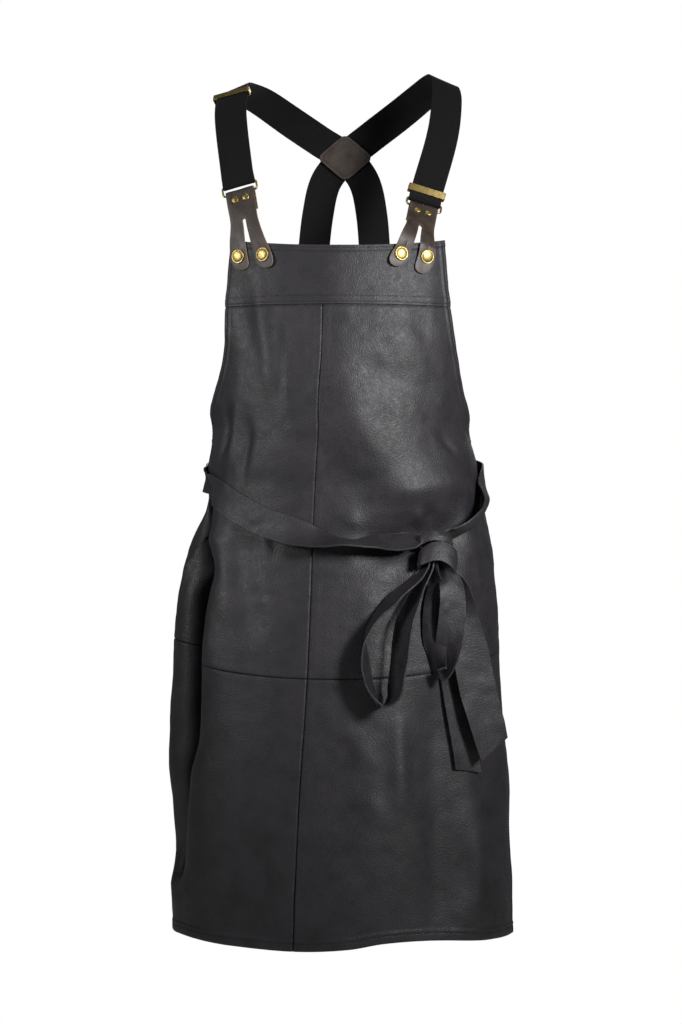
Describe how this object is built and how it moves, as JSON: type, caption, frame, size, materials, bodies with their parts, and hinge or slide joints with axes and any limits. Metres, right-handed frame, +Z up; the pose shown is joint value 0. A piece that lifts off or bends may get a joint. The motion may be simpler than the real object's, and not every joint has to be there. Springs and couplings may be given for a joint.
{
  "type": "apron",
  "caption": "Leather work apron in its worn form: bib with a stitched band, crossed webbing braces on button tabs, and a waist belt tied in a bow; open at the back.",
  "frame": {"origin": "midway between the tops of the two shoulder straps, where the apron hangs when worn", "axes": "+Z up, the front of the bib faces -Y, +X to the right as seen from the front"},
  "size_m": [0.424, 0.2739, 1.0651],
  "materials": {
    "body_leather": "black semi-gloss, pebbled grain",
    "brown_leather": "dark brown, oiled, cut edges",
    "webbing": "black woven webbing, matt",
    "antique_brass": "antique, satin"
  },
  "bodies": {
    "root": {"bib_band": "body_leather", "upper_panel_left": "body_leather", "upper_panel_right": "body_leather", "lower_panel_left": "body_leather", "lower_panel_right": "body_leather", "waist_belt": "body_leather", "bow_knot": "body_leather", "bow_loop_left": "body_leather", "bow_loop_right": "body_leather", "bow_tail_left": "body_leather", "bow_tail_right": "body_leather", "tab_left": "brown_leather", "tab_right": "brown_leather", "back_tab_left": "brown_leather", "back_tab_right": "brown_leather", "cross_patch_inner": "brown_leather", "cross_patch_outer": "brown_leather", "strap_left": "webbing", "strap_right": "webbing", "ring_left": "antique_brass", "ring_right": "antique_brass", "slider_left": "antique_brass", "slider_right": "antique_brass", "button_left_outer": "antique_brass", "button_left_inner": "antique_brass", "button_right_outer": "antique_brass", "button_right_inner": "antique_brass", "rivet_left_outer": "antique_brass", "rivet_left_inner": "antique_brass", "rivet_right_outer": "antique_brass", "rivet_right_inner": "antique_brass", "back_stud_left": "antique_brass", "back_stud_right": "antique_brass"}
  },
  "joints": []
}
